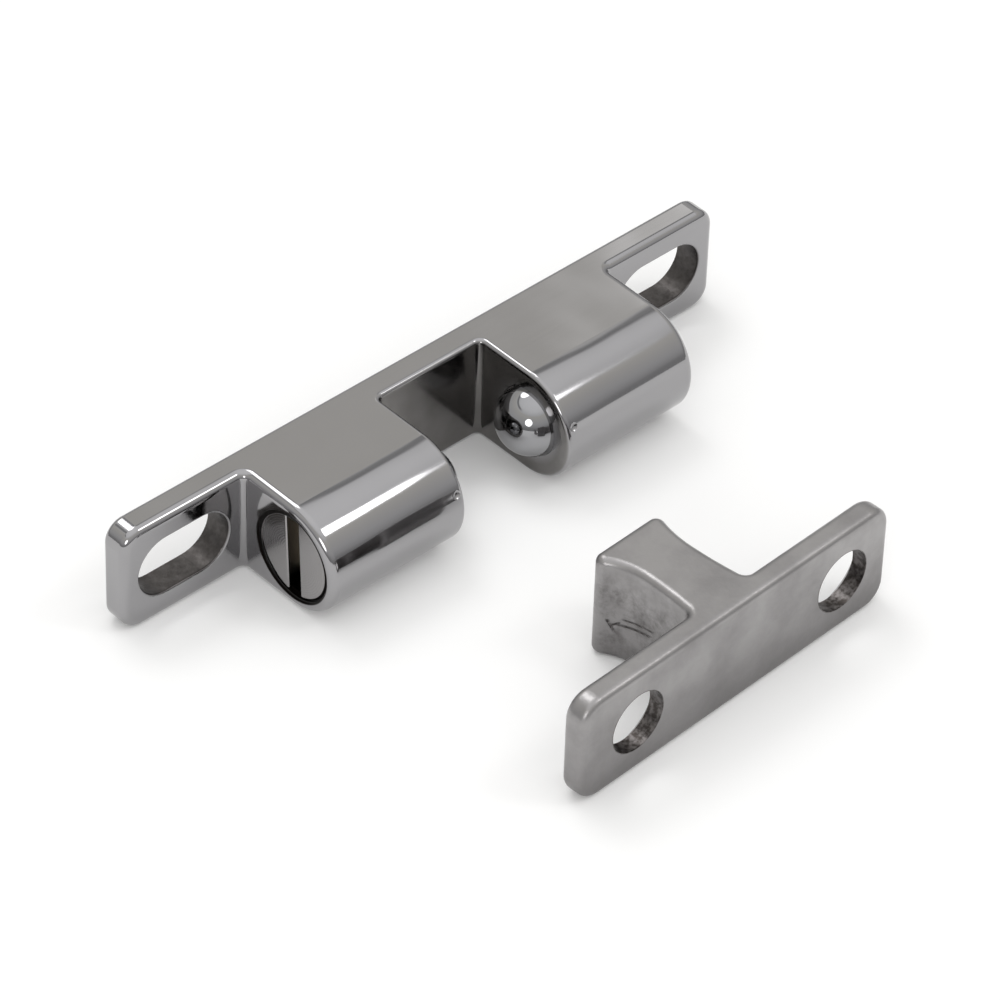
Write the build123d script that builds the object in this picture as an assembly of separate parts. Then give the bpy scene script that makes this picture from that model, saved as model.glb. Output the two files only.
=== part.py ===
from build123d import *
import os
from math import cos, radians, sin, sqrt

# Ball catch: a cast body with two sprung balls that face each other across a gap,
# and a tee-shaped strike whose tongue is gripped between them.
# Millimetres. The origin is the middle of the catch body's back face, which is the plane Y = 0.
# X runs along the catch body and Z is up: body and strike stand on their long edges.

# Catch body casting
body_length = 70.0
body_height = 11.0
body_depth = 14.6
plate_thickness = 2.8
gap_width = 12.2
barrel_length = 15.4
ear_corner_radius = 2.0
inner_corner_radius = 0.6
front_edge_radius = 0.8
gap_edge_radius = 0.45
back_edge_radius = 0.5

# Slotted fixing holes in the ears, each in the middle of its ear
slot_width = 6.1
slot_end_margin = 1.7
slot_least_straight = 0.1
slot_rim_radius = 0.25

# Balls and the staked mouths that hold them in
ball_diameter = 7.0
ball_protrusion = 2.75
ball_clearance = 0.05
seat_clearance = 0.02
mouth_dish_width = 1.1
mouth_dish_depth = 0.12
punch_diameter = 0.9
punch_depth = 0.18
punch_inset = 0.85
punch_angle = 23.0

# Tapped ends and the slotted adjusting screws in them
thread_shoulder = 0.95
thread_depth = 7.1
thread_clearance = 0.05
thread_mouth_chamfer = 0.1
screw_length = 5.0
screw_recess = 0.2
screw_chamfer = 0.3
driver_slot_width = 1.6
driver_slot_depth = 1.3
driver_slot_lean = 3.0

# Springs between the screws and the balls
spring_wire = 0.65
spring_turns = 5
spring_side_clearance = 0.25
spring_end_clearance = 0.03

# Strike: a plate with two countersunk holes and a waisted tongue
strike_length = 38.1
strike_height = 11.0
strike_thickness = 2.45
strike_corner_radius = 2.3
strike_edge_radius = 0.8
strike_face_radius = 0.7
strike_hole_diameter = 6.1
strike_hole_spacing = 25.5
strike_hole_offset = 0.5
countersink_depth = 0.9
countersink_width = 1.45
tongue_reach = 10.75
tongue_tip_width = 9.4
tongue_offset = -0.2
tongue_tip_lean = 0.65
tongue_waist_width = 6.2
tongue_waist_offset = 5.8
tongue_root_width = 7.0
tongue_root_fillet = 0.8
tongue_tip_radius = 0.9

# Where the strike lies in front of the catch body: its mounting face's middle and its turn
strike_distance = 43.1
strike_offset = -0.85
strike_skew = 2.9

# Sizes that follow from the ones above
nose_radius = body_height / 2
bore_y = nose_radius - body_depth
gap_face_x = gap_width / 2
outer_face_x = gap_face_x + barrel_length
ear_length = body_length / 2 - outer_face_x
slot_x = outer_face_x + ear_length / 2
slot_length = max(ear_length - 2 * slot_end_margin, slot_width + slot_least_straight)
ball_radius = ball_diameter / 2
ball_x = gap_face_x + ball_radius - ball_protrusion
ball_bore_radius = ball_radius + ball_clearance
thread_radius = ball_bore_radius + thread_shoulder
screw_radius = thread_radius - thread_clearance
screw_outer_x = outer_face_x - screw_recess
screw_inner_x = screw_outer_x - screw_length
spring_radius = ball_bore_radius - spring_side_clearance - spring_wire / 2
SIDES = {"left": -1, "right": 1}

# How far a cutter runs past the face it cuts, and how near two coordinates count as the same
overrun = 1.0
tolerance = 0.01


def rod_along_x(radius, start, end):
    """A round bar along X about the bore axis, between two distances from the middle."""
    bar = Rot(0, 90, 0) * Cylinder(radius, end - start)
    return Pos((start + end) / 2, bore_y, 0) * bar


def cone_along_x(start_radius, end_radius, start, end):
    """A cone along X about the bore axis, whose radius changes from start to end."""
    cone = Rot(0, 90, 0) * Cone(start_radius, end_radius, end - start)
    return Pos((start + end) / 2, bore_y, 0) * cone


def on_side(shape, side):
    """The shape, modelled on the right half, mirrored to the left where asked."""
    if side < 0:
        return mirror(shape, about=Plane.YZ)
    return shape


def lies_at(value, target):
    """Whether two coordinates are the same within the tolerance."""
    return abs(value - target) < tolerance


def make_plate():
    """The back plate with its ears' corners rounded, seen from the front."""
    outline = RectangleRounded(body_length, body_height, ear_corner_radius)
    return extrude(Plane.XZ * outline, plate_thickness)


def make_barrel():
    """The right barrel: flat top and bottom, and a half-round nose."""
    straight = Pos(bore_y / 2, 0) * Rectangle(-bore_y, body_height)
    nose = Pos(bore_y, 0) * Circle(nose_radius)
    barrel = extrude(Plane.YZ * (straight + nose), barrel_length)
    return Pos(gap_face_x, 0, 0) * barrel


def front_edges(casting, in_gap):
    """The casting's front edges that are rounded: those round the gap, or all the others."""
    ear_end = body_length / 2
    edges = []
    for edge in casting.edges():
        centre = edge.center()
        upright = lies_at(abs(edge.tangent_at(0.5).Z), 1)
        lengthwise = lies_at(abs(edge.tangent_at(0.5).X), 1)
        if centre.Y > tolerance - plate_thickness:
            continue
        if upright and not lies_at(abs(centre.X), ear_end):
            continue
        if lengthwise and lies_at(centre.Y, bore_y):
            continue
        if in_gap == (abs(centre.X) < gap_face_x + tolerance):
            edges.append(edge)
    return edges


def round_casting(casting):
    """The casting with its inner corners filled and its outer edges rounded."""
    corners = [
        edge
        for edge in casting.edges().filter_by(Axis.Z)
        if lies_at(edge.center().Y, -plate_thickness) and abs(edge.center().X) < outer_face_x + tolerance
    ]
    casting = fillet(corners, inner_corner_radius)
    back = [edge for edge in casting.edges() if lies_at(edge.center().Y, 0)]
    casting = fillet(back, back_edge_radius)
    casting = fillet(front_edges(casting, in_gap=False), front_edge_radius)
    return fillet(front_edges(casting, in_gap=True), gap_edge_radius)


def ear_slot():
    """The cutter of the right ear's slot, right through the plate."""
    outline = SlotOverall(slot_length, slot_width)
    cutter = extrude(Plane.XZ * outline, plate_thickness * 2, both=True)
    return Pos(slot_x, 0, 0) * cutter


def soften_slots(casting):
    """The casting with the front rims of its slots rounded."""
    rims = []
    for edge in casting.edges():
        centre = edge.center()
        beside_slot = abs(abs(centre.X) - slot_x) < slot_length / 2
        if lies_at(centre.Y, -plate_thickness) and beside_slot and abs(centre.Z) < slot_width / 2 + tolerance:
            rims.append(edge)
    return fillet(rims, slot_rim_radius)


def stepped_bore():
    """The cutter of the right barrel's bore: staked mouth, ball seat, bore and tapped end."""
    lip_x = gap_face_x + mouth_dish_depth
    seat_radius = ball_radius + seat_clearance
    mouth_radius = sqrt(seat_radius**2 - (ball_x - lip_x) ** 2)
    thread_start = outer_face_x - thread_depth
    chamfer_radius = thread_radius + thread_mouth_chamfer
    bore = Pos(ball_x, bore_y, 0) * Sphere(seat_radius)
    bore += rod_along_x(ball_bore_radius, ball_x, thread_start)
    bore += cone_along_x(mouth_radius + mouth_dish_width, mouth_radius, gap_face_x, lip_x)
    bore += rod_along_x(thread_radius, thread_start, outer_face_x + overrun)
    chamfer_start = outer_face_x - thread_mouth_chamfer
    bore += cone_along_x(thread_radius, chamfer_radius, chamfer_start, outer_face_x)
    return bore


def punch_mark():
    """The cutter of the small round punch mark on the right barrel's nose, over the mouth's lip."""
    sphere_radius = (punch_diameter**2 / 4 + punch_depth**2) / (2 * punch_depth)
    reach = nose_radius + sphere_radius - punch_depth
    mark_y = bore_y - reach * cos(radians(punch_angle))
    mark_z = reach * sin(radians(punch_angle))
    return Pos(gap_face_x + punch_inset, mark_y, mark_z) * Sphere(sphere_radius)


def make_catch_body():
    """The whole casting with its slots, bores and punch marks."""
    barrel = make_barrel()
    casting = make_plate()
    for side in SIDES.values():
        casting += on_side(barrel, side)
    casting = round_casting(casting)
    for side in SIDES.values():
        casting -= on_side(ear_slot(), side)
    casting = soften_slots(casting)
    for side in SIDES.values():
        casting -= on_side(stepped_bore(), side)
        casting -= on_side(punch_mark(), side)
    return casting


def make_ball(side):
    """A steel ball, standing out of its mouth into the gap."""
    return Pos(side * ball_x, bore_y, 0) * Sphere(ball_radius)


def make_screw(side):
    """A slotted adjusting screw in the barrel's tapped end."""
    plug = rod_along_x(screw_radius, screw_inner_x, screw_outer_x)
    rims = plug.edges().filter_by(GeomType.CIRCLE)
    plug = chamfer(rims, screw_chamfer)
    slot = Box(driver_slot_depth * 2, driver_slot_width, screw_radius * 3)
    plug -= Pos(screw_outer_x, bore_y, 0) * Rot(-driver_slot_lean, 0, 0) * slot
    return on_side(plug, side)


def make_spring(side):
    """A coil spring between a ball and its screw."""
    reach = ball_radius + spring_wire / 2 + spring_end_clearance
    start_x = ball_x + sqrt(reach**2 - spring_radius**2)
    end_x = screw_inner_x - spring_end_clearance - spring_wire / 2
    length = end_x - start_x
    path = Helix(length / spring_turns, length, spring_radius)
    wire = Plane(path @ 0, z_dir=path % 0) * Circle(spring_wire / 2)
    coil = sweep(wire, path, is_frenet=True)
    return on_side(Pos(start_x, bore_y, 0) * Rot(0, 90, 0) * coil, side)


def tongue_outline():
    """The tongue's plan on the strike's inner face: narrow at the waist, and wide and leaning at the tip."""
    curves = []
    buried_ends = []
    tips = []
    for side in SIDES.values():
        root_x = tongue_offset + side * tongue_root_width / 2
        buried = (root_x, -strike_thickness / 2)
        root = (root_x, 0)
        waist = (tongue_offset + side * tongue_waist_width / 2, tongue_waist_offset)
        tip = (tongue_offset + side * tongue_tip_width / 2 - tongue_tip_lean, tongue_reach)
        lower = TangentArc(waist, root, tangent=(0, -1))
        upper = TangentArc(waist, tip, tangent=(0, 1))
        curves += [Line(buried, root), lower, upper]
        buried_ends.append(buried)
        tips.append(tip)
    curves += [Line(*buried_ends), Line(*tips)]
    outline = make_face(Curve() + curves)
    corners = [corner for corner in outline.vertices() if lies_at(corner.Y, tongue_reach)]
    return fillet(corners, tongue_tip_radius)


def make_strike():
    """The strike: plate, tongue and countersunk holes, cast in one piece."""
    outline = RectangleRounded(strike_length, strike_height, strike_corner_radius)
    plate = extrude(Plane.XZ * outline, strike_thickness)
    strike = plate + Pos(0, 0, -strike_height / 2) * extrude(tongue_outline(), strike_height)
    corners = [
        edge
        for edge in strike.edges().filter_by(Axis.Z)
        if lies_at(edge.center().Y, 0) and abs(edge.center().X) < tongue_tip_width
    ]
    strike = fillet(corners, tongue_root_fillet)
    rims = []
    for edge in strike.edges():
        upright = lies_at(abs(edge.tangent_at(0.5).Z), 1)
        on_end = lies_at(abs(edge.center().X), strike_length / 2)
        if edge.center().Y > -tolerance and (on_end or not upright):
            rims.append(edge)
    strike = fillet(rims, strike_edge_radius)
    face_rim = [edge for edge in strike.edges() if lies_at(edge.center().Y, -strike_thickness)]
    strike = fillet(face_rim, strike_face_radius)
    hole_radius = strike_hole_diameter / 2
    for side in SIDES.values():
        centre = Pos(strike_hole_offset + side * strike_hole_spacing / 2, 0, 0) * Rot(90, 0, 0)
        strike -= centre * Cylinder(hole_radius, strike_thickness * 4)
        sink = Cone(hole_radius + countersink_width, hole_radius, countersink_depth)
        strike -= centre * Pos(0, 0, countersink_depth / 2) * sink
    strike = Pos(0, strike_thickness, 0) * strike
    return Pos(strike_offset, -strike_distance, 0) * Rot(0, 0, strike_skew) * strike


def write_parts(parts):
    """Writes one STEP file for each piece."""
    os.makedirs("parts", exist_ok=True)
    for name, shape in parts.items():
        shape.label = name
        export_step(shape, f"parts/{name}.step")


parts = {"catch_body": make_catch_body(), "strike": make_strike()}
for name, side in SIDES.items():
    parts[f"ball_{name}"] = make_ball(side)
    parts[f"spring_{name}"] = make_spring(side)
    parts[f"screw_{name}"] = make_screw(side)
write_parts(parts)
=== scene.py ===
"""Dresses a double ball catch and its strike, and sets up the studio around them.

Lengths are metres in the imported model's own frame: X runs along the catch body, Z is up, and the body's
flat back is the plane Y = 0. Sizes given in millimetres are multiplied by MM.
"""

import logging
from collections.abc import Sequence
from dataclasses import dataclass
from enum import Enum
from math import cos, pi, radians, sin, tan
from typing import Any

import bmesh
import bpy
from mathutils import Matrix, Vector


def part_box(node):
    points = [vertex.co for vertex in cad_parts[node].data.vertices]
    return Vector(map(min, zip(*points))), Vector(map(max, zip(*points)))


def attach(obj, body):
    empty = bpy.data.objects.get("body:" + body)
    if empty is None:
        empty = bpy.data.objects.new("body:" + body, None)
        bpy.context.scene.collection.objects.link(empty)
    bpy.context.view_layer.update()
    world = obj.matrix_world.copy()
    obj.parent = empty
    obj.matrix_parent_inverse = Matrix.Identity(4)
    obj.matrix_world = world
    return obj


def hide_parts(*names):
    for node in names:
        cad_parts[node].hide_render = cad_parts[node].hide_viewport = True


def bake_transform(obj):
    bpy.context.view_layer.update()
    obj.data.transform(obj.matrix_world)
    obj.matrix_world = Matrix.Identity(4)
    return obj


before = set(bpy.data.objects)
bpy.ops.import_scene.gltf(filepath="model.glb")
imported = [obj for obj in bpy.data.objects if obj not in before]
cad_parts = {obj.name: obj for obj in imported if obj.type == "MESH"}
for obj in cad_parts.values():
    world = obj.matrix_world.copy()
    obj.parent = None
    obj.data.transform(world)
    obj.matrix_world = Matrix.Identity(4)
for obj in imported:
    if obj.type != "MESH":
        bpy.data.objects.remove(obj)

Tree = bpy.types.NodeTree
# What an input is linked from: an output socket, or a node for its first output
Source = bpy.types.NodeSocket | bpy.types.Node
# A colour: a source, an sRGB hex code, or linear light with its alpha
Paint = Source | str | tuple[float, float, float, float]
Triple = tuple[float, float, float]
# A range's two ends: for a mask, where it is 0 and where it is full
Span = tuple[float, float]
# An axis, with where along it a mask is 0 and where it is full
Limit = tuple[str, float, float]

LOG = logging.getLogger("ball_catch")
MM = 0.001
ORIGIN = (0.0, 0.0, 0.0)
X_AXIS = Vector((1, 0, 0))

# The bore axis, which balls, springs and screws share, and the floor that the object stands on
BORE_Y = -9.1 * MM
BORE = (0.0, BORE_Y, 0.0)
FLOOR_Z = -5.5 * MM

# The coordinates that count for a distance from the bores' axis, and from a slot's or a hole's
ACROSS_BORE = (0, 1, 1)
ACROSS_HOLE = (1, 0, 1)

# The tapped ends' radius, and the screws' driver slots with their lean in degrees
TAPPED_RADIUS = 4.5 * MM
SLOT_WIDTH = 1.6 * MM
SLOT_LEAN = 3.0

# Vertices closer than this become one, and edges sharper than this angle stay creased
WELD = 0.001 * MM
CREASE = radians(35)


class Side(Enum):
    """The two halves of the catch, each with its way along X."""

    LEFT = -1
    RIGHT = 1

    def body(self, piece: str) -> str:
        """The name of the moving body that carries this half's piece."""
        return f"{piece}_{self.name.lower()}"


def linear(code: str) -> tuple[float, float, float, float]:
    """Turns an sRGB hex colour into linear light.

    Args:
        code: The colour as "#RRGGBB".

    Returns:
        Red, green, blue and an alpha of 1.
    """
    values = [int(code[i:i + 2], 16) / 255 for i in (1, 3, 5)]
    light = [v / 12.92 if v <= 0.04045 else ((v + 0.055) / 1.055) ** 2.4 for v in values]
    return light[0], light[1], light[2], 1.0


def add_node(
    tree: Tree, kind: str, settings: dict[str, Any] | None = None,
    inputs: dict[str | int, Any] | list[Any] | None = None,
) -> bpy.types.Node:
    """Adds a shader node with its settings, input values and links.

    Args:
        tree: The node tree that gets the node.
        kind: The node type's identifier after "ShaderNode".
        settings: Properties of the node and their values.
        inputs: Sources, hex colours or other values, by the inputs' names or numbers or in their order.

    Returns:
        The new node.
    """
    node = tree.nodes.new(f"ShaderNode{kind}")
    for name, value in (settings or {}).items():
        setattr(node, name, value)
    named = dict(enumerate(inputs)) if isinstance(inputs, list) else inputs or {}
    for name, value in named.items():
        if isinstance(value, bpy.types.Node):
            value = value.outputs[0]
        if isinstance(value, bpy.types.NodeSocket):
            tree.links.new(value, node.inputs[name])
        else:
            node.inputs[name].default_value = linear(value) if isinstance(value, str) else value
    return node


def clear_tree(owner: bpy.types.Material | bpy.types.World) -> Tree:
    """Gives a material or a world an empty node tree.

    Args:
        owner: The material or world.

    Returns:
        Its tree.
    """
    owner.use_nodes = True
    owner.node_tree.nodes.clear()
    return owner.node_tree


def layer(tree: Tree, base: Paint, layers: Sequence[tuple[Source, Paint]]) -> Source:
    """Lays colours over one another.

    Args:
        tree: The material's tree.
        base: The lowest colour.
        layers: From the lowest up, each with its mask and its colour.

    Returns:
        The colour that shows.
    """
    for mask, colour in layers:
        # Among a mix's sockets, 6 and 7 are the colours that go in and 2 is the one that comes out
        base = add_node(tree, "Mix", {"data_type": "RGBA"}, {0: mask, 6: base, 7: colour}).outputs[2]
    return base


def emboss(tree: Tree, reliefs: Sequence[tuple[Source, float]]) -> Source:
    """Bends the surface's normal by one relief after another.

    Args:
        tree: The material's tree.
        reliefs: Each with its height from 0 to 1, and what a height of 1 is in metres, which is negative
            where the relief goes in.

    Returns:
        The bent normal.
    """
    bent: dict[str, Source] = {}
    for height, depth in reliefs:
        bump = add_node(tree, "Bump", {"invert": depth < 0},
                        {"Height": height, "Distance": abs(depth), "Strength": 1.0} | bent)
        bent = {"Normal": bump}
    return bent["Normal"]


def fold(tree: Tree, point: Source, middle: Triple = ORIGIN) -> Source:
    """Folds space about a middle, so that one mask serves its mirror images too.

    Args:
        tree: The material's tree.
        point: The point's coordinates.
        middle: The middle.

    Returns:
        The point's distance from the middle along each axis, without a sign.
    """
    moved = add_node(tree, "VectorMath", {"operation": "SUBTRACT"}, [point, middle])
    return add_node(tree, "VectorMath", {"operation": "ABSOLUTE"}, [moved])


def ring_mask(
    tree: Tree, point: Source, middle: Triple, across: Triple, fade: Span, strength: float = 1.0
) -> Source:
    """Marks points by their distance from an axis.

    Args:
        tree: The material's tree.
        point: The point's coordinates.
        middle: A place on the axis.
        across: 1 for each coordinate that counts, and 0 for the one along the axis.
        fade: How the mask follows the distance.
        strength: The full mask's value.

    Returns:
        The mask.
    """
    arm = add_node(tree, "VectorMath", {"operation": "SUBTRACT"}, [point, middle])
    flat = add_node(tree, "VectorMath", {"operation": "MULTIPLY"}, [arm, across])
    reach = add_node(tree, "VectorMath", {"operation": "LENGTH"}, [flat]).outputs["Value"]
    return add_node(tree, "MapRange", None, [reach, *fade, 0.0, strength])


def limit_mask(tree: Tree, point: Source, limits: Sequence[Limit], mask: Source | float = 1.0) -> Source:
    """Marks points that lie within limits.

    Args:
        tree: The material's tree.
        point: The point's coordinates.
        limits: The limits, all of which hold.
        mask: The full mask's value.

    Returns:
        The mask.
    """
    split = add_node(tree, "SeparateXYZ", None, [point])
    for axis, none, full in limits:
        fade = add_node(tree, "MapRange", None, [split.outputs[axis], none, full])
        mask = add_node(tree, "Math", {"operation": "MULTIPLY"}, [mask, fade])
    return mask


@dataclass(frozen=True)
class Metal:
    """A metal finish, on the piece's own coordinates, with the shader's IOR at its default."""

    name: str = "metal"

    def build(self) -> bpy.types.Material:
        """Makes the material.

        Returns:
            The material.
        """
        material = bpy.data.materials.new(self.name)
        tree = clear_tree(material)
        place = add_node(tree, "TexCoord").outputs["Object"]
        shader = add_node(tree, "BsdfPrincipled", None, {"Metallic": 1.0} | self.shade(tree, place))
        add_node(tree, "OutputMaterial", None, {"Surface": shader})
        return material

    def shade(self, tree: Tree, place: Source) -> dict[str, Any]:
        """Builds what makes this metal look as it does.

        Args:
            tree: The material's tree.
            place: The point's coordinates.

        Returns:
            The shader's inputs.
        """
        raise NotImplementedError


@dataclass(frozen=True)
class PolishedCasting(Metal):
    """Investment-cast stainless steel, mop polished where the wheel reaches.

    A crisp, slightly rippled mirror outside, whose barrels the wheel has left a touch fuller in the
    middle; a duller mirror inside the gap, whose darker grey is painted shade; and a dark cast skin in
    the slots and bores, with a near-black ring of painted shade round the screws.
    """

    name: str = "polished_cast_steel"
    polished: str = "#A2A1A3"
    worn: str = "#999899"
    # Painted shade: the gap's faces take a darker, mottled grey where the barrels shade each other
    gap: str = "#8C8A89"
    cloudy_gap_shade: str = "#676562"
    skin: str = "#646160"
    # Dark tone of the cast skin's pebbles
    dark_tone_and_shade: str = "#363331"
    # Painted shade: near-black for the shadowed gap between each screw and its bore's wall
    near_black: str = "#14110F"
    roughness: Span = (0.07225, 0.10625)
    gap_roughness: float = 0.15
    skin_roughness: float = 0.42
    cloud: float = 9 * MM
    mottle: float = 3 * MM
    crown: float = 0.054 * MM
    ripple_length: float = 7 * MM
    ripple_height: float = 0.06 * MM
    line_width: float = 0.3 * MM
    # The polishing lines run along X: their pattern is drawn out to 20 times its width
    line_stretch: Triple = (0.05, 1.0, 1.0)
    line_range: Span = (0.3, 0.75)
    pebble: float = 0.55 * MM
    pebble_height: float = 0.05 * MM
    slot_centre: float = 28.25 * MM
    slot_half_straight: float = 2.0 * MM
    slot_wall: Span = (3.17 * MM, 3.07 * MM)
    bore_wall: Span = (4.63 * MM, 4.53 * MM)
    bore_start: float = 6.4 * MM
    # Where the painted shade round the screws lies: its fade from the bores' axis, and where it starts along
    # X
    screw_shade_ring: Span = (4.68 * MM, 4.62 * MM)
    screw_shade_start: float = 20.9 * MM
    # A barrel's two ends along X, and how far in front of the back its nose's crown starts and is full
    barrel: Span = (6.1 * MM, 21.5 * MM)
    nose: Span = (8.6 * MM, 10.4 * MM)
    # The gap, in coordinates without signs
    gap_limits: tuple[Limit, ...] = (
        ("X", 6.25 * MM, 6.13 * MM), ("Y", 2.6 * MM, 2.75 * MM), ("Z", 5.4 * MM, 5.1 * MM))

    def shade(self, tree: Tree, place: Source) -> dict[str, Any]:
        """Builds the polish, the gap's haze and painted shade, the cast skin and the screws' painted shade.

        Args:
            tree: The material's tree.
            place: The point's coordinates.

        Returns:
            The shader's inputs.
        """
        folded = fold(tree, place)
        hidden, dull = self.skin_mask(tree, folded), limit_mask(tree, folded, self.gap_limits)
        # Painted shade round each screw
        black = self.bore_mask(tree, folded, self.screw_shade_ring, self.screw_shade_start)
        cloud, mottle, pebbles, ripples = (
            add_node(tree, "TexNoise", None, {"Vector": place, "Scale": 1 / size, "Detail": detail})
            for size, detail in ((self.cloud, 3.0), (self.mottle, 4.0), (self.pebble, 4.0),
                                 (self.ripple_length, 0.5)))
        stretched = add_node(tree, "Mapping", None, {"Vector": place, "Scale": self.line_stretch})
        lines = add_node(tree, "TexNoise", None,
                         {"Vector": stretched, "Scale": 1 / self.line_width, "Detail": 2.0})
        # Painted shade in the gap, mottled; the gap's haze itself is in the roughness
        haze_and_gap_shade = layer(tree, self.gap, [(mottle, self.cloudy_gap_shade)])
        skin = layer(tree, self.skin, [(pebbles, self.dark_tone_and_shade)])
        colour = layer(tree, self.polished,
                       [(cloud, self.worn), (dull, haze_and_gap_shade), (hidden, skin), (black, self.near_black)])
        gloss = add_node(tree, "MapRange", None, [lines, *self.line_range, *self.roughness])
        hazed = add_node(tree, "Mix", None, {0: dull, 2: gloss, 3: self.gap_roughness})
        rough = add_node(tree, "Mix", None, {0: hidden, 2: hazed, 3: self.skin_roughness})
        crust = add_node(tree, "Math", {"operation": "MULTIPLY"}, [pebbles, hidden])
        normal = emboss(tree, [(self.crown_drop(tree, folded), -self.crown), (ripples, self.ripple_height),
                               (crust, self.pebble_height)])
        return {"Base Color": colour, "Roughness": rough, "Normal": normal}

    def bore_mask(self, tree: Tree, folded: Source, fade: Span, start: float) -> Source:
        """Marks what lies round the bores' axis, from a place along X outwards.

        Args:
            tree: The material's tree.
            folded: The point's coordinates without signs.
            fade: How the mask follows the distance from the axis.
            start: How far from the middle the mask starts.

        Returns:
            The mask.
        """
        inside = ring_mask(tree, folded, (0, -BORE_Y, 0), ACROSS_BORE, fade)
        split = add_node(tree, "SeparateXYZ", None, [folded])
        past = add_node(tree, "Math", {"operation": "GREATER_THAN"}, [split, start])
        return add_node(tree, "Math", {"operation": "MULTIPLY"}, [inside, past])

    def skin_mask(self, tree: Tree, folded: Source) -> Source:
        """Marks the slot and bore walls, which the polishing wheel doesn't reach.

        Args:
            tree: The material's tree.
            folded: The point's coordinates without signs.

        Returns:
            A value of 1 on those walls and 0 elsewhere.
        """
        in_ear = fold(tree, folded, (self.slot_centre, 0, 0))
        past_end = add_node(tree, "VectorMath", {"operation": "SUBTRACT"},
                            [in_ear, (self.slot_half_straight, 0, 0)])
        clamped = add_node(tree, "VectorMath", {"operation": "MAXIMUM"}, [past_end, ORIGIN])
        slot = ring_mask(tree, clamped, ORIGIN, ACROSS_HOLE, self.slot_wall)
        bore = self.bore_mask(tree, folded, self.bore_wall, self.bore_start)
        return add_node(tree, "Math", {"operation": "MAXIMUM"}, [slot, bore])

    def crown_drop(self, tree: Tree, folded: Source) -> Source:
        """Measures how far the wheel has left each barrel's nose lower than at its middle.

        Args:
            tree: The material's tree.
            folded: The point's coordinates without signs.

        Returns:
            0 at a barrel's middle and on the flat top, rising as a square to 1 at the nose's ends.
        """
        split = add_node(tree, "SeparateXYZ", None, [folded])
        along = add_node(tree, "MapRange", None, [split.outputs["X"], *self.barrel, -1.0, 1.0])
        square = add_node(tree, "Math", {"operation": "MULTIPLY"}, [along, along])
        nose = add_node(tree, "MapRange", {"interpolation_type": "SMOOTHSTEP"},
                        [split.outputs["Y"], *self.nose])
        return add_node(tree, "Math", {"operation": "MULTIPLY"}, [square, nose])


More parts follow.
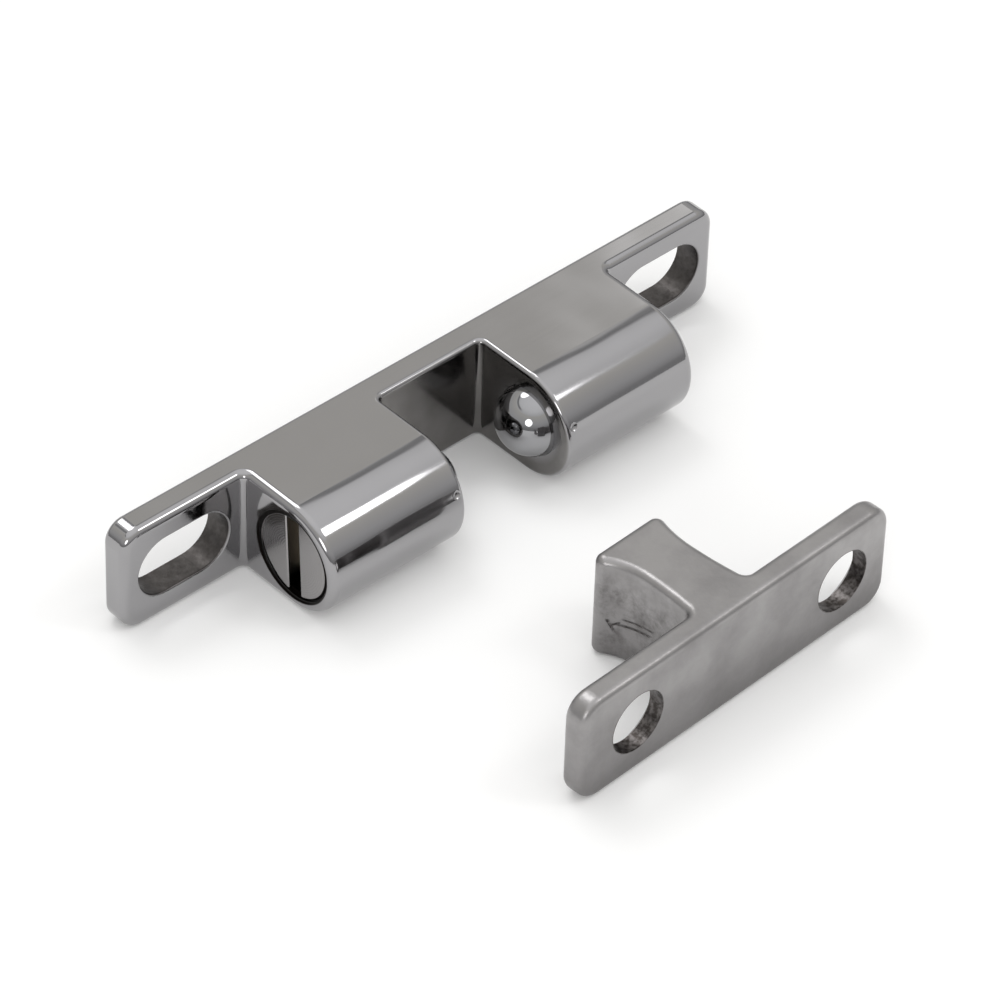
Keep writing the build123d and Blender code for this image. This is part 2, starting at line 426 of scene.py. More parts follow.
@dataclass(frozen=True)
class SatinCasting(Metal):
    """Investment-cast stainless steel, tumbled but not mop polished.

    A soft satin sheen with cloudy patches and a faint pebbled skin, darkened by painted shade towards its
    lower edge, with painted shade, dark and mottled, on the screw holes' walls, and the scores that the
    mould left on the tongue's left flank.
    """

    name: str = "tumbled_cast_steel"
    bright: str = "#A19F9F"
    cloudy: str = "#8F8D8D"
    # Painted shade: darker towards the lower edge, where the face reflects the floor in the strike's own
    # shadow
    lower: str = "#757373"
    # Dark tone of the scores and blotches, and painted shade on the screw holes' walls
    dark_tone_and_shade: str = "#332E2B"
    # The lighter mottle within the painted shade on the holes' walls
    hole_shade_light: str = "#6E6A69"
    roughness: Span = (0.28, 0.44)
    pebble: float = 0.45 * MM
    pebble_height: float = 0.016 * MM
    patch: float = 6 * MM
    patch_range: Span = (0.38, 0.66)
    gloss_range: Span = (0.3, 0.7)
    hole_mottle_range: Span = (0.4, 0.65)
    skew: float = 2.9
    face_middle: Triple = (-0.85 * MM, -43.1 * MM, 0.0)
    hole_offset: float = 0.5 * MM
    hole_half_spacing: float = 12.75 * MM
    # Painted shade on the screw holes' walls: where it fades in, and its share
    hole_wall: Span = (3.15 * MM, 3.07 * MM)
    hole_share: float = 0.92
    # The lower edge, the blotchy part of the tongue's left flank, and the scored one, in the strike's axes
    # Painted shade towards the lower edge
    low_shade_limits: tuple[Limit, ...] = (("Z", 1.5 * MM, -5.5 * MM),)
    low_shade_share: float = 0.8
    blotch_limits: tuple[Limit, ...] = (
        ("X", -2.9 * MM, -3.2 * MM), ("Y", 2.6 * MM, 3.4 * MM), ("Y", 12.9 * MM, 11.8 * MM),
        ("Z", 5.2 * MM, 2.4 * MM))
    blotch: float = 2.2 * MM
    blotch_range: Span = (0.42, 0.72)
    blotch_share: Span = (0.0, 0.7)
    # How the fine noise breaks up the blotches and the scores: its range, then the shares it becomes
    blotch_grain: tuple[float, float, float, float] = (0.3, 0.7, 0.6, 1.1)
    score_grain: tuple[float, float, float, float] = (0.38, 0.6, 0.35, 0.9)
    score_limits: tuple[Limit, ...] = (("X", -2.9 * MM, -3.1 * MM),)
    # Each score: its middle along the tongue and upwards, its slope in degrees, half length and half width
    scores: tuple[tuple[float, float, float, float, float], ...] = (
        (8.8 * MM, -1.05 * MM, -10.0, 2.2 * MM, 0.17 * MM),
        (8.4 * MM, -0.3 * MM, -10.0, 1.9 * MM, 0.13 * MM),
        (11.1 * MM, -1.6 * MM, 62.0, 0.75 * MM, 0.17 * MM),
        (10.7 * MM, -1.3 * MM, -35.0, 0.6 * MM, 0.14 * MM),
    )
    # The shares of a score's half length and half width within which it is full
    score_core: Span = (0.7, 0.3)
    score_depth: float = 0.15 * MM

    def shade(self, tree: Tree, place: Source) -> dict[str, Any]:
        """Builds the satin sheen and patches, the painted shade in the holes and low down, and the scored
        flank.

        Args:
            tree: The material's tree.
            place: The point's coordinates.

        Returns:
            The shader's inputs.
        """
        local = add_node(tree, "Mapping", {"vector_type": "TEXTURE"},
                         {"Vector": place, "Location": self.face_middle,
                          "Rotation": (0, 0, radians(self.skew))})
        patches = add_node(tree, "TexNoise", None,
                           {"Vector": place, "Scale": 1 / self.patch, "Detail": 5.0, "Roughness": 0.6})
        pebbles = add_node(tree, "TexNoise", None,
                           {"Vector": place, "Scale": 1 / self.pebble, "Detail": 3.0})
        scored, blotched = self.score_mask(tree, local, pebbles), self.flank_mask(tree, local, pebbles)
        spread = add_node(tree, "MapRange", None, [patches, *self.patch_range])
        # Painted shade towards the lower edge
        below = limit_mask(tree, local, self.low_shade_limits, self.low_shade_share)
        marked = add_node(tree, "Math", {"operation": "MAXIMUM"}, [scored, blotched])
        crust = add_node(tree, "MapRange", None, [pebbles, *self.hole_mottle_range])
        # Painted shade, dark and mottled, on the screw holes' walls
        wall = layer(tree, self.dark_tone_and_shade, [(crust, self.hole_shade_light)])
        colour = layer(tree, self.bright, [(spread, self.cloudy), (below, self.lower), (marked, self.dark_tone_and_shade),
                                           (self.hole_mask(tree, local), wall)])
        rough = add_node(tree, "MapRange", None, [patches, *self.gloss_range, *self.roughness])
        normal = emboss(tree, [(pebbles, self.pebble_height), (scored, -self.score_depth)])
        return {"Base Color": colour, "Roughness": rough, "Normal": normal}

    def hole_mask(self, tree: Tree, local: Source) -> Source:
        """Marks the straight walls of the two screw holes.

        Args:
            tree: The material's tree.
            local: The point in the strike's own axes, from its mounting face.

        Returns:
            The painted shade's share on those walls and 0 elsewhere.
        """
        folded = fold(tree, local, (self.hole_offset, 0, 0))
        return ring_mask(tree, folded, (self.hole_half_spacing, 0, 0), ACROSS_HOLE, self.hole_wall,
                         self.hole_share)

    def flank_mask(self, tree: Tree, local: Source, pebbles: Source) -> Source:
        """Marks the blotchy cast skin on the lower part of the tongue's left flank.

        Args:
            tree: The material's tree.
            local: The point in the strike's own axes.
            pebbles: The fine noise that breaks the skin up.

        Returns:
            The dark tone's share in the blotches and 0 elsewhere.
        """
        blotches = add_node(tree, "TexNoise", None, {"Vector": local, "Scale": 1 / self.blotch,
                                                     "Detail": 5.0, "Roughness": 0.7})
        broken = add_node(tree, "MapRange", None, [blotches, *self.blotch_range, *self.blotch_share])
        grain = add_node(tree, "MapRange", None, [pebbles, *self.blotch_grain])
        return add_node(tree, "Math", {"operation": "MULTIPLY", "use_clamp": True},
                        [limit_mask(tree, local, self.blotch_limits, broken), grain])

    def score_mask(self, tree: Tree, local: Source, pebbles: Source) -> Source:
        """Marks the scores on the tongue's left flank, each a short dark line.

        Args:
            tree: The material's tree.
            local: The point in the strike's own axes.
            pebbles: The fine noise that breaks the scores up.

        Returns:
            The dark tone's share in the scores and 0 elsewhere.
        """
        scored: Source | float = 0.0
        for along, up, slope, half_length, half_width in self.scores:
            turned = add_node(tree, "Mapping", {"vector_type": "TEXTURE"},
                              {"Vector": local, "Location": (0, along, up),
                               "Rotation": (radians(slope), 0, 0)})
            line = limit_mask(tree, fold(tree, turned),
                              [("Y", half_length, half_length * self.score_core[0]),
                               ("Z", half_width, half_width * self.score_core[1])])
            scored = add_node(tree, "Math", {"operation": "MAXIMUM"}, [line, scored])
        grain = add_node(tree, "MapRange", None, [pebbles, *self.score_grain])
        return add_node(tree, "Math", {"operation": "MULTIPLY"},
                        [limit_mask(tree, local, self.score_limits, scored), grain])


@dataclass(frozen=True)
class BallSteel(Metal):
    """Hardened steel ball, ground and lapped: a clean, sharp mirror with the faintest haze."""

    name: str = "lapped_ball_steel"
    bright: str = "#A0A0A2"
    haze_and_gap_shade: str = "#949496"
    haze: float = 2 * MM
    haze_range: Span = (0.3, 0.8)
    roughness: Span = (0.035, 0.07)

    def shade(self, tree: Tree, place: Source) -> dict[str, Any]:
        """Builds the mirror and its haze.

        Args:
            tree: The material's tree.
            place: The point's coordinates.

        Returns:
            The shader's inputs.
        """
        haze = add_node(tree, "TexNoise", None, {"Vector": place, "Scale": 1 / self.haze, "Detail": 4.0})
        rough = add_node(tree, "MapRange", None, [haze, *self.haze_range, *self.roughness])
        return {"Base Color": layer(tree, self.bright, [(haze, self.haze_and_gap_shade)]), "Roughness": rough}


@dataclass(frozen=True)
class TurnedSteel(Metal):
    """Stainless steel bar turned on a lathe.

    Faint rings round the screw's axis and a satin sheen, a milled slot, near-black painted shade on the
    thread and its rim, where the screw meets the bore's wall, and a darker lower end of the slot.
    """

    name: str = "turned_steel"
    bright: str = "#A09E9E"
    ring: str = "#979595"
    milled: str = "#857F76"
    # Near-black: painted shade on the thread and the screw's rim, and the colour of the slot's darker lower
    # end
    near_black: str = "#14110F"
    roughness: Span = (0.16, 0.26)
    uneven_roughness: float = 0.38
    # The furthest that the driver slot's walls lie from its middle, and its floor from the catch's
    slot_reach: float = SLOT_WIDTH / 2 + 0.02 * MM
    slot_end: float = 21.1 * MM
    # Painted shade: near-black from this radius outwards, on the thread and the rim
    rim_shade: Span = (4.08 * MM, 4.14 * MM)
    # The slot turns darker below these heights
    slot_dark_limits: tuple[Limit, ...] = (("Z", -1.8 * MM, -2.9 * MM),)
    # The tool's feed is nearer 0.1 mm: drawn coarser, so that the rings show
    feed: float = 0.22 * MM
    # The wave pattern repeats at this distance when its scale is 1
    wave_length: float = 0.314
    ring_height: float = 0.001 * MM

    def shade(self, tree: Tree, place: Source) -> dict[str, Any]:
        """Builds the rings, the milled slot, the painted shade at the rim and the darker slot end.

        Args:
            tree: The material's tree.
            place: The point's coordinates.

        Returns:
            The shader's inputs.
        """
        centred = add_node(tree, "Mapping", None, {"Vector": place, "Location": (0, -BORE_Y, 0)})
        rings = add_node(tree, "TexWave", {"wave_type": "RINGS", "rings_direction": "X"},
                         {"Vector": centred, "Scale": self.wave_length / self.feed, "Distortion": 1.5,
                          "Detail": 2.0, "Detail Scale": 1.0}).outputs["Fac"]
        slot = self.slot_mask(tree, centred)
        # Painted shade on the thread and the screw's rim
        rim = ring_mask(tree, centred, ORIGIN, ACROSS_BORE, self.rim_shade)
        # The slot's lower end, darker
        slot_lower_end = limit_mask(tree, place, self.slot_dark_limits, slot)
        black = add_node(tree, "Math", {"operation": "MAXIMUM"}, [rim, slot_lower_end])
        colour = layer(tree, self.ring, [(rings, self.bright), (slot, self.milled), (black, self.near_black)])
        gloss = add_node(tree, "MapRange", None, [rings, 0.0, 1.0, *self.roughness])
        uneven = add_node(tree, "Math", {"operation": "MAXIMUM"}, [slot, rim])
        rough = add_node(tree, "Mix", None, {0: uneven, 2: gloss, 3: self.uneven_roughness})
        return {"Base Color": colour, "Roughness": rough,
                "Normal": emboss(tree, [(rings, self.ring_height)])}

    def slot_mask(self, tree: Tree, centred: Source) -> Source:
        """Marks the driver slot's walls and floor.

        Args:
            tree: The material's tree.
            centred: The point's coordinates from the bores' axis.

        Returns:
            A value of 1 in the slot and 0 elsewhere.
        """
        leaning = add_node(tree, "Mapping", None,
                           {"Vector": centred, "Rotation": (radians(SLOT_LEAN), 0, 0)})
        split = add_node(tree, "SeparateXYZ", None, [fold(tree, leaning)])
        beside = add_node(tree, "Math", {"operation": "LESS_THAN"}, [split.outputs["Y"], self.slot_reach])
        under = add_node(tree, "Math", {"operation": "LESS_THAN"}, [split.outputs["X"], self.slot_end])
        return add_node(tree, "Math", {"operation": "MULTIPLY"}, [beside, under])


@dataclass(frozen=True)
class DrawnWire(Metal):
    """Hard-drawn stainless spring wire: a dull sheen, a little darker than the casting."""

    name: str = "drawn_spring_wire"
    bright: str = "#8E8C8A"
    dull: str = "#6F6D6B"
    mark: float = 0.4 * MM
    mark_range: Span = (0.3, 0.7)
    roughness: Span = (0.24, 0.42)

    def shade(self, tree: Tree, place: Source) -> dict[str, Any]:
        """Builds the sheen and the die's marks.

        Args:
            tree: The material's tree.
            place: The point's coordinates.

        Returns:
            The shader's inputs.
        """
        marks = add_node(tree, "TexNoise", None, {"Vector": place, "Scale": 1 / self.mark, "Detail": 3.0})
        rough = add_node(tree, "MapRange", None, [marks, *self.mark_range, *self.roughness])
        return {"Base Color": layer(tree, self.bright, [(marks, self.dull)]), "Roughness": rough}


@dataclass(frozen=True)
class PaleFloor:
    """Matt white studio paper, shown as white to camera, metal and glass, with its shadows kept."""

    paper: str = "#F3F3F3"
    lift: float = 0.08

    def build(self) -> bpy.types.Material:
        """Makes the material.

        Returns:
            The material.
        """
        material = bpy.data.materials.new("studio_paper")
        tree = clear_tree(material)
        paper = add_node(tree, "BsdfDiffuse", None, {"Color": self.paper})
        path = add_node(tree, "LightPath")
        shown: Source = path.outputs["Is Camera Ray"]
        for ray in ("Is Glossy Ray", "Is Transmission Ray"):
            shown = add_node(tree, "Math", {"operation": "MAXIMUM"}, [shown, path.outputs[ray]])
        strength = add_node(tree, "Math", {"operation": "MULTIPLY"}, [shown, self.lift])
        glow = add_node(tree, "Emission", None, {"Strength": strength})
        both = add_node(tree, "AddShader", None, [paper, glow])
        add_node(tree, "OutputMaterial", None, {"Surface": both})
        return material


def shade_smooth(mesh: bpy.types.Mesh) -> None:
    """Shades a mesh smooth between its creases."""
    mesh.shade_smooth()
    mesh.set_sharp_from_angle(angle=CREASE)


def finish_mesh(
    bm: bmesh.types.BMesh, name: str, material: bpy.types.Material, side: Side = Side.RIGHT
) -> bpy.types.Object:
    """Cleans a bmesh and makes it an object at the origin.

    Args:
        bm: The shape, which is freed.
        name: The piece's name.
        material: Its material.
        side: The half it is for: a shape is made for the right one, and turned round for the left one.

    Returns:
        The piece, with smooth shading.
    """
    if side is Side.LEFT:
        bmesh.ops.rotate(bm, verts=bm.verts, cent=BORE, matrix=Matrix.Rotation(pi, 3, "Z"))
    bmesh.ops.remove_doubles(bm, verts=bm.verts, dist=WELD)
    bmesh.ops.recalc_face_normals(bm, faces=bm.faces)
    mesh = bpy.data.meshes.new(name)
    bm.to_mesh(mesh)
    bm.free()
    piece = bpy.data.objects.new(name, mesh)
    bpy.context.scene.collection.objects.link(piece)
    mesh.materials.append(material)
    shade_smooth(mesh)
    return piece


@dataclass
class Thread:
    """The fine metric thread that the adjusting screws and the barrels' tapped ends share."""

    pitch: float = 0.75 * MM
    screw_radius: float = 4.45 * MM
    crest_share: float = 1 / 16
    root_share: float = 3 / 8
    flank_angle: float = 30.0
    rows_per_pitch: int = 8
    segments: int = 72
    # How near to the cylinder a vertex counts as on it
    tolerance: float = 0.01 * MM

    def depth(self) -> float:
        """The thread's depth, from its flanks' angle and the flats at crest and root."""
        return (self.root_share - self.crest_share) * self.pitch / tan(radians(self.flank_angle))

    def groove(self, x: float, angle: float) -> float:
        """How far the threaded surface lies below its crest.

        Args:
            x: The point's place along X.
            angle: Its angle round X, in radians.

        Returns:
            0 at the crest and the thread's depth at the root.
        """
        turn = (x / self.pitch - angle / (2 * pi)) % 1.0
        off_crest = abs(turn - 0.5)
        share = (off_crest - self.crest_share) / (self.root_share - self.crest_share)
        return self.depth() * min(1.0, max(0.0, share))

    def shape(self, bm: bmesh.types.BMesh, radius: float, start: float, end: float) -> None:
        """Moves the vertices that lie on a cylinder in to the thread's form.

        Args:
            bm: The shape.
            radius: The cylinder's radius, which becomes the crest or, in a bore, the root.
            start: Where the thread starts along X.
            end: Where it ends.
        """
        for vert in bm.verts:
            arm = Vector((vert.co.y - BORE_Y, vert.co.z))
            if abs(arm.length - radius) > self.tolerance or not start <= vert.co.x <= end:
                continue
            angle = arm.angle_signed(Vector((1, 0)))
            arm.length = radius - self.groove(vert.co.x, angle)
            vert.co.y, vert.co.z = BORE_Y + arm.x, arm.y


def turn_profile(points: list[tuple[float, float]], segments: int, closed: bool) -> bmesh.types.BMesh:
    """Turns a half-profile round the bore axis.

    Args:
        points: Places along X, each with its radius.
        segments: Steps in the full turn.
        closed: Whether the last point joins the first, as for a ring.

    Returns:
        The turned shape.
    """
    bm = bmesh.new()
    verts = [bm.verts.new((x, BORE_Y + radius, 0)) for x, radius in points]
    pairs = list(zip(verts, verts[1:]))
    if closed:
        pairs.append((verts[-1], verts[0]))
    edges = [bm.edges.new(pair) for pair in pairs]
    bmesh.ops.spin(bm, geom=verts + edges, cent=BORE, axis=X_AXIS, dvec=ORIGIN, angle=2 * pi,
                   steps=segments, use_merge=True)
    bmesh.ops.remove_doubles(bm, verts=bm.verts, dist=WELD)
    return bm


def rows(start: float, end: float, spacing: float) -> list[float]:
    """Evenly spaced places from start to end.

    Args:
        start: The first place.
        end: The last place.
        spacing: About how far two neighbours lie apart.

    Returns:
        The places, both ends included.
    """
    count = max(1, round(abs(end - start) / spacing))
    return [start + (end - start) * i / count for i in range(count + 1)]


def reach_along_x(node: str) -> tuple[float, float]:
    """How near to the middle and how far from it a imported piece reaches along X.

    Args:
        node: The piece's name.

    Returns:
        The least and the greatest distance.
    """
    low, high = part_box(node)
    near, far = sorted((abs(low[0]), abs(high[0])))
    return near, far


@dataclass
class AdjustingScrew:
    """A slotted plug with a fine thread, which sets how hard the spring presses its ball."""

    side: Side
    thread: Thread
    chamfer: float = 0.3 * MM
    # How much further in the chamfer reaches at the screw's inner end
    lead: float = 0.1 * MM
    slot_depth: float = 1.3 * MM
    slot_break: float = 0.1 * MM
    # How far the slot's cutter reaches up and down, as a share of the screw's radius
    cutter_reach: float = 1.5

    def build(self, material: bpy.types.Material) -> bpy.types.Object:
        """Makes the screw and lets it stand for its plain solid.

        Args:
            material: The screw's finish.

        Returns:
            The screw.
        """
        crest = self.thread.screw_radius
        inner, outer = reach_along_x(self.side.body("screw"))
        start, end = inner + self.chamfer, outer - self.chamfer
        places = rows(start, end, self.thread.pitch / self.thread.rows_per_pitch)
        profile = [(inner, 0), (inner, crest - self.chamfer - self.lead)]
        profile += [(x, crest) for x in places]
        profile += [(outer, crest - self.chamfer), (outer, 0)]
        bm = turn_profile(profile, self.thread.segments, closed=False)
        self.thread.shape(bm, crest, start, end)
        screw = finish_mesh(bm, self.side.body("adjusting_screw"), material, self.side)
        self.cut_slot(screw, outer)
        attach(screw, self.side.body("screw"))
        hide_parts(self.side.body("screw"))
        return screw

    def cut_slot(self, screw: bpy.types.Object, outer: float) -> None:
        """Cuts the driver slot, with its edges broken, into the screw's outer face.

        Args:
            screw: The screw, whose mesh is changed.
            outer: How far that face lies from the middle.
        """
        way, face = self.side.value, self.side.value * outer
        half, flare = SLOT_WIDTH / 2, SLOT_WIDTH / 2 + self.slot_break
        reach = self.thread.screw_radius * self.cutter_reach
        outline = [(face - way * self.slot_depth, half), (face - way * self.slot_break, half),
                   (face, flare), (face + way * MM, flare)]
        outline += [(x, -y) for x, y in reversed(outline)]
        bm = bmesh.new()
        bottom = bm.faces.new([bm.verts.new((x, BORE_Y + y, -reach)) for x, y in outline])
        pulled = bmesh.ops.extrude_face_region(bm, geom=[bottom])
        moved = [g for g in pulled["geom"] if isinstance(g, bmesh.types.BMVert)]
        bmesh.ops.translate(bm, verts=moved, vec=(0, 0, 2 * reach))
        bmesh.ops.rotate(bm, verts=bm.verts, cent=BORE, matrix=Matrix.Rotation(-radians(SLOT_LEAN), 3, "X"))
        cutter = finish_mesh(bm, "slot_cutter", screw.data.materials[0])
        cut = screw.modifiers.new("driver_slot", "BOOLEAN")
        cut.operation = "DIFFERENCE"
        cut.solver = "EXACT"
        cut.object = cutter
        graph = bpy.context.evaluated_depsgraph_get()
        mesh = bpy.data.meshes.new_from_object(screw.evaluated_get(graph))
        screw.modifiers.clear()
        screw.data = mesh
        shade_smooth(mesh)
        bpy.data.objects.remove(cutter)


@dataclass
class TappedEnd:
    """The thread cut in a barrel's outer end, as a thin sleeve of metal on the bore's wall."""

    side: Side
    thread: Thread
    inner_x: float = 14.5 * MM
    outer_x: float = 21.38 * MM
    wall: float = 0.05 * MM

    def build(self, material: bpy.types.Material) -> bpy.types.Object:
        """Makes the tapped thread.

        Args:
            material: The thread's finish.

        Returns:
            The thread.
        """
        places = rows(self.inner_x, self.outer_x, self.thread.pitch / self.thread.rows_per_pitch)
        profile = [(x, TAPPED_RADIUS) for x in places]
        profile += [(x, TAPPED_RADIUS + self.wall) for x in (self.outer_x, self.inner_x)]
        bm = turn_profile(profile, self.thread.segments, closed=True)
        self.thread.shape(bm, TAPPED_RADIUS, self.inner_x, self.outer_x)
        tapped = finish_mesh(bm, self.side.body("tapped_thread"), material, self.side)
        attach(tapped, "catch_body")
        return tapped


@dataclass
class CoilSpring:
    """A compression spring with closed ends, between a ball and its adjusting screw.

    It is wound in two lengths, an inner and an outer one, that meet where the wire stays still.
    """

    side: Side
    wire_radius: float = 0.325 * MM
    coil_radius: float = 2.975 * MM
    closed_turns: int = 1
    # The closed turns' pitch for each thickness of wire, which keeps them just apart
    closed_spacing: float = 1.01
    inner_turns: int = 2
    outer_turns: int = 1
    steps_per_turn: int = 36
    wire_segments: int = 14

    def build(self, material: bpy.types.Material) -> tuple[bpy.types.Object, bpy.types.Object]:
        """Makes the spring, from the ball to the screw.

        Args:
            material: The wire's finish.

        Returns:
            The inner and the outer length.
        """
        near, far = reach_along_x(self.side.body("spring"))
        closed_pitch = 2 * self.wire_radius * self.closed_spacing
        open_length = far - near - 2 * self.wire_radius - 2 * self.closed_turns * closed_pitch
        open_pitch = open_length / (self.inner_turns + self.outer_turns)
        first = near + self.wire_radius
        meeting = first + self.closed_turns * closed_pitch + self.inner_turns * open_pitch
        closed = (self.closed_turns, closed_pitch)
        inner = self.wind("inner", first, (closed, (self.inner_turns, open_pitch)), material)
        outer = self.wind("outer", meeting, ((self.outer_turns, open_pitch), closed), material)
        self.side.body("ball")
        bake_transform(inner)
        self.side.body("spring")
        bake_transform(outer)
        for length in (inner, outer):
            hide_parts(self.side.body("spring"))
        return inner, outer

    def wind(
        self, part: str, start: float, stretches: tuple[tuple[int, float], ...], material: bpy.types.Material
    ) -> bpy.types.Object:
        """Winds one length of the spring.

        Args:
            part: The length's name.
            start: Where the wire's middle starts along X.
            stretches: Whole numbers of turns, each with its pitch.
            material: The wire's finish.

        Returns:
            The length.
        """
        bm = bmesh.new()
        ring = bmesh.ops.create_circle(bm, cap_ends=True, segments=self.wire_segments,
                                       radius=self.wire_radius)
        bmesh.ops.translate(bm, verts=ring["verts"], vec=(start, BORE_Y + self.coil_radius, 0))
        last: list[Any] = list(bm.faces)
        for turns, pitch in stretches:
            spun = bmesh.ops.spin(bm, geom=last, cent=BORE, axis=X_AXIS,
                                  dvec=(pitch / self.steps_per_turn, 0, 0), angle=2 * pi * turns,
                                  steps=turns * self.steps_per_turn, use_merge=False)
            last = [g for g in spun["geom_last"] if isinstance(g, bmesh.types.BMFace)]
        return finish_mesh(bm, self.side.body(f"coil_spring_{part}"), material, self.side)


@dataclass
class FramePiece:
    """A piece whose packed form is right, so that it only gets its finish."""

    node: str
    material: bpy.types.Material

    def dress(self) -> bpy.types.Object:
        """Puts the finish in each of the piece's material slots.

        Returns:
            The piece.
        """
        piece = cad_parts[self.node]
        for slot in piece.material_slots:
            slot.material = self.material
        return piece


def sky_direction(azimuth: float, elevation: float) -> Vector:
    """Turns angles in degrees, the azimuth from +Y towards +X, into a direction.

    Args:
        azimuth: The angle round Z.
        elevation: The angle above the floor.

    Returns:
        The direction, of length 1.
    """
    turn, tilt = radians(azimuth), radians(elevation)
    return Vector((sin(turn) * cos(tilt), cos(turn) * cos(tilt), sin(tilt)))


@dataclass
class Camera:
    """The photograph's viewpoint, from its fitted direction, distance and lens."""

    target: Triple = (-2.83 * MM, -15.35 * MM, 0.0)
    distance: float = 526.7 * MM
    azimuth: float = 43.82
    elevation: float = 41.31
    roll: float = 2.03
    lens: float = 217.2
    sensor: float = 36.0

    def build(self) -> None:
        """Makes the camera and gives it to the scene."""
        data = bpy.data.cameras.new("camera")
        data.lens = self.lens
        data.sensor_width = self.sensor
        camera = bpy.data.objects.new("camera", data)
        bpy.context.scene.collection.objects.link(camera)
        look = sky_direction(self.azimuth, -self.elevation)
        level = look.to_track_quat("-Z", "Y").to_matrix()
        placed = (level @ Matrix.Rotation(radians(self.roll), 3, "Z")).to_4x4()
        placed.translation = Vector(self.target) - look * self.distance
        camera.matrix_world = placed
        bpy.context.scene.camera = camera


@dataclass
class Softbox:
    """A soft lamp, placed by where it stands in the sky seen from the object, all in degrees."""

    name: str
    azimuth: float
    elevation: float
    width: float
    height: float
    radiance: float
    distance: float = 0.9

    def build(self) -> None:
        """Makes the lamp, aimed at the object."""
        away = sky_direction(self.azimuth, self.elevation)
        data = bpy.data.lights.new(self.name, "AREA")
        data.shape = "ELLIPSE"
        data.size = 2 * self.distance * tan(radians(self.width / 2))
        data.size_y = 2 * self.distance * tan(radians(self.height / 2))
        area = pi * data.size * data.size_y / 4
        data.energy = self.radiance * pi * area
        lamp = bpy.data.objects.new(self.name, data)
        bpy.context.scene.collection.objects.link(lamp)
        placed = (-away).to_track_quat("-Z", "Y").to_matrix().to_4x4()
        placed.translation = away * self.distance
        lamp.matrix_world = placed


def tent_colour(level: float, warmth: float = 0.0) -> tuple[float, float, float, float]:
    """Makes the colour of the tent's light.

    Args:
        level: Its brightness.
        warmth: The share of its blue that is missing, as is a quarter of that from its green.

    Returns:
        Linear light with an alpha of 1.
    """
    return level, level * (1 - warmth / 4), level * (1 - warmth), 1.0


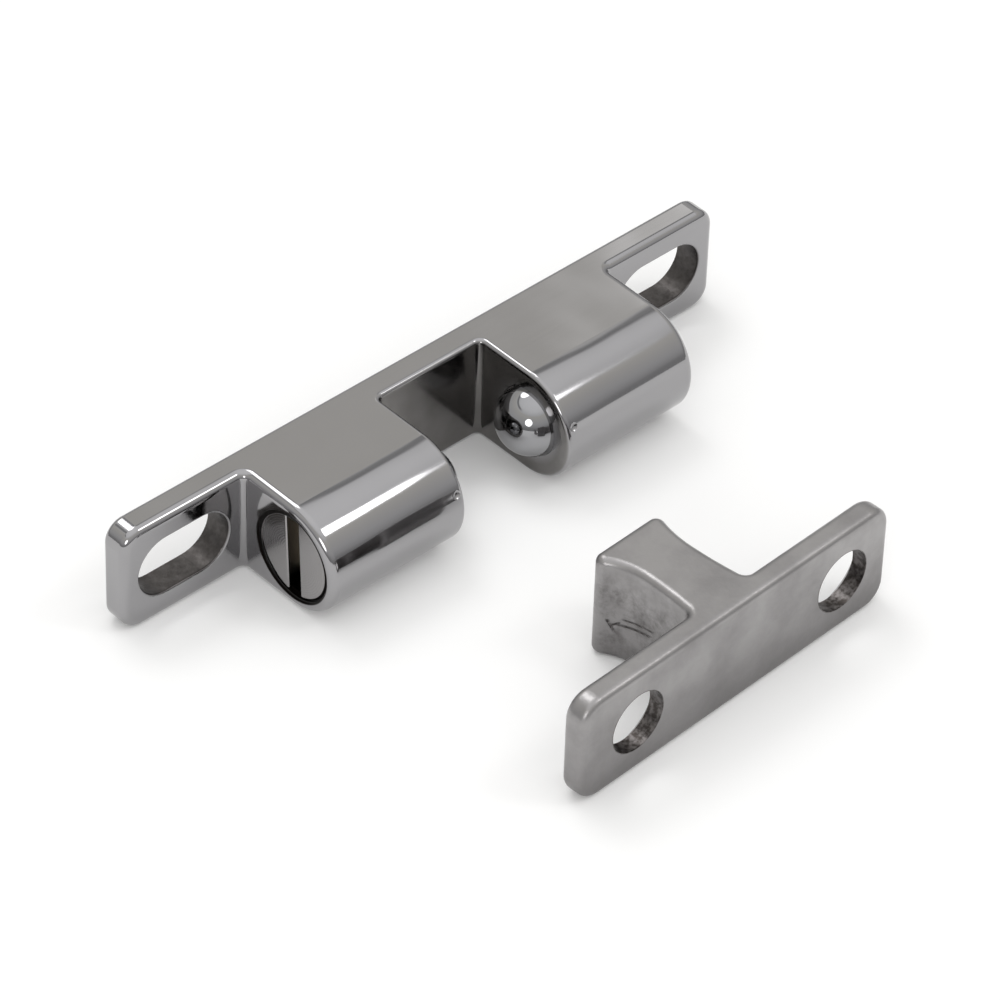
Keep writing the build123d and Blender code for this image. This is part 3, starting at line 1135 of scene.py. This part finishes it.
@dataclass
class Studio:
    """A grey light tent, brighter overhead, with three softboxes and a floor of white paper.

    The tent's far wall and its roof meet in a dark seam, which draws the thin dark lines between the
    casting's flat top and its rounded edges. A brighter patch of the far wall lights the flat tops'
    right-hand ends.
    """

    floor_radius: float = 2.0
    floor_segments: int = 96
    # Each stop: its elevation in degrees, its level, and how warm it is
    sky: tuple[Triple, ...] = (
        (0.0, 0.36, 0.0), (8.0, 0.4, 0.0), (12.0, 0.54, 0.0), (20.0, 0.66, 0.0), (30.0, 0.73, 0.04),
        (42.0, 0.82, 0.08), (46.0, 0.9, 0.0), (58.0, 1.15, 0.0), (90.0, 1.25, 0.0))
    seam: tuple[Triple, ...] = ((45.5, 0.0, 0.0), (46.5, 1.0, 0.0), (50.0, 1.0, 0.0), (52.0, 0.0, 0.0))
    seam_level: float = 0.4
    # The far wall, by the Y of a ray's direction where it starts and where it is full
    far_wall: Span = (0.05, 0.25)
    window: Triple = (0.6, 0.53, 0.6)
    window_level: float = 0.75
    # How far off the window's direction its glow starts and where it is full
    window_fade: Span = (0.08, 0.035)
    softboxes: tuple[Softbox, ...] = (
        Softbox("rear_softbox", azimuth=8, elevation=58, width=26, height=22, radiance=3.0),
        Softbox("side_softbox", azimuth=138.7, elevation=50.9, width=13.6, height=13.6, radiance=5.0),
        Softbox("near_softbox", azimuth=-124, elevation=24, width=21, height=21, radiance=4.0),
    )

    def build(self) -> None:
        """Makes the floor, the sky and the lamps."""
        self.make_floor()
        self.make_sky()
        for softbox in self.softboxes:
            softbox.build()

    def make_floor(self) -> None:
        """Makes the paper floor under the object."""
        bm = bmesh.new()
        bmesh.ops.create_circle(bm, cap_ends=True, segments=self.floor_segments, radius=self.floor_radius,
                                matrix=Matrix.Translation((0, 0, FLOOR_Z)))
        floor = finish_mesh(bm, "floor", PaleFloor().build())

    def make_sky(self) -> None:
        """Makes the tent's light, which rises from a dim horizon to a bright top."""
        world = bpy.data.worlds.new("light_tent")
        bpy.context.scene.world = world
        tree = clear_tree(world)
        way = add_node(tree, "TexCoord").outputs["Generated"]
        split = add_node(tree, "SeparateXYZ", None, [way])
        sky, seam = (self.add_ramp(tree, split.outputs["Z"], stops) for stops in (self.sky, self.seam))
        far_wall = add_node(tree, "MapRange", None, [split.outputs["Y"], *self.far_wall])
        shade = add_node(tree, "Math", {"operation": "MULTIPLY"}, [seam, far_wall])
        tent = layer(tree, sky, [(shade, tent_colour(self.seam_level))])
        off_window = add_node(tree, "VectorMath", {"operation": "DISTANCE"}, [way, self.window])
        glow = add_node(tree, "MapRange", {"interpolation_type": "SMOOTHSTEP"},
                        [off_window.outputs["Value"], *self.window_fade, 0.0, self.window_level])
        lit = add_node(tree, "VectorMath", {"operation": "ADD"}, [tent, glow])
        light = add_node(tree, "Background", None, {"Color": lit})
        add_node(tree, "OutputWorld", None, {"Surface": light})

    def add_ramp(self, tree: Tree, height: Source, stops: tuple[Triple, ...]) -> Source:
        """Adds a ramp of levels by elevation.

        Args:
            tree: The world's tree.
            height: The upward part of the ray's direction.
            stops: Elevations in degrees, each with its level and its warmth.

        Returns:
            The level at the ray's elevation.
        """
        ramp = add_node(tree, "ValToRGB", None, [height])
        elements = ramp.color_ramp.elements
        while len(elements) < len(stops):
            elements.new(0.5)
        for element, (elevation, level, warmth) in zip(elements, stops):
            element.position = sin(radians(elevation))
            element.color = tent_colour(level, warmth)
        return ramp


def main() -> None:
    """Builds every piece in order and reports each one."""
    logging.basicConfig(level=logging.INFO, format="%(message)s")
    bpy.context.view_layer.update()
    bpy.context.scene.view_settings.view_transform = "Standard"
    metals = (PolishedCasting(), SatinCasting(), BallSteel(), TurnedSteel(), DrawnWire())
    casting, satin, ball_steel, turned, wire = (metal.build() for metal in metals)
    LOG.info("dressed %s", FramePiece("catch_body", casting).dress().name)
    LOG.info("dressed %s", FramePiece("strike", satin).dress().name)
    thread = Thread()
    for side in Side:
        LOG.info("dressed %s", FramePiece(side.body("ball"), ball_steel).dress().name)
        LOG.info("built %s and %s", *(length.name for length in CoilSpring(side).build(wire)))
        LOG.info("built %s", AdjustingScrew(side, thread).build(turned).name)
        LOG.info("built %s", TappedEnd(side, thread).build(turned).name)
    Studio().build()
    Camera().build()


if __name__ == "__main__":
    main()
